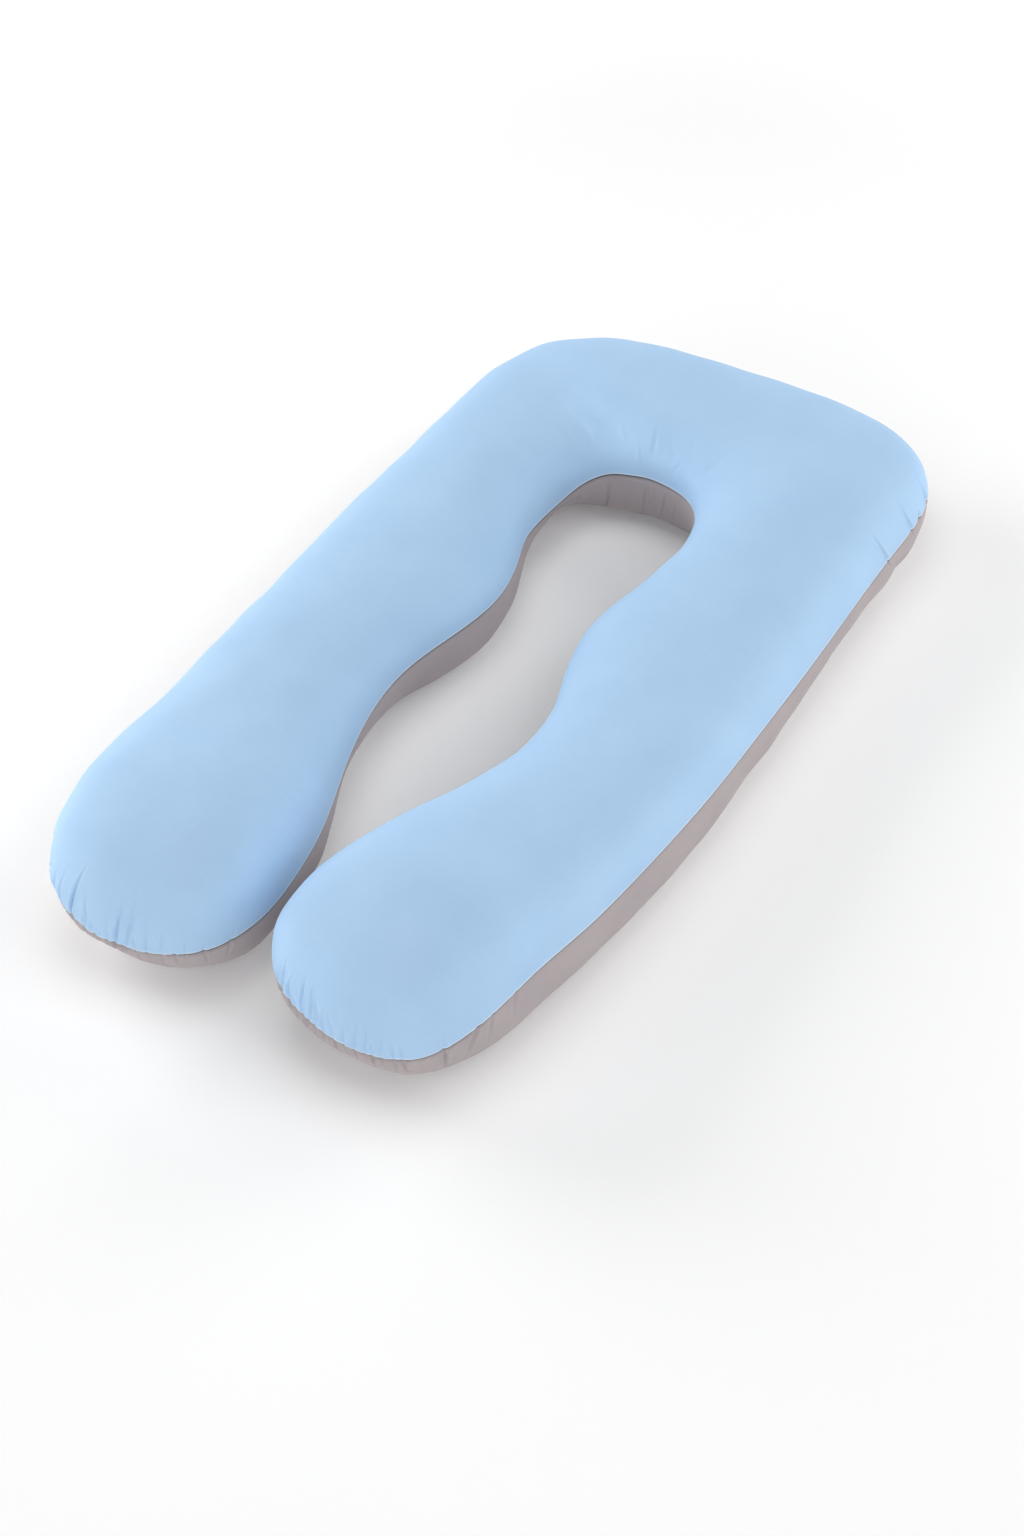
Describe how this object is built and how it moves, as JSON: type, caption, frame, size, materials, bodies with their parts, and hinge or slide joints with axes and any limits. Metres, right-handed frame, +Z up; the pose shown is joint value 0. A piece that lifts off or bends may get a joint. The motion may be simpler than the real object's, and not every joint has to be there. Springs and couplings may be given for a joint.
{
  "type": "body pillow",
  "caption": "U-shaped body pillow: a filled cloth tube that lies flat, light blue above its seam and warm grey below it.",
  "frame": {"origin": "on the floor, under the middle of the pillow's outline", "axes": "+Y towards the closed head end, +X to the right of a person whose head lies there, +Z up from the floor"},
  "size_m": [0.8003, 1.3996, 0.226],
  "materials": {
    "blue_cloth": "matt, light blue, fine weave",
    "grey_cloth": "matt, warm grey, fine weave"
  },
  "bodies": {
    "root": {"top_panel": "blue_cloth", "bottom_panel": "grey_cloth"}
  },
  "joints": []
}
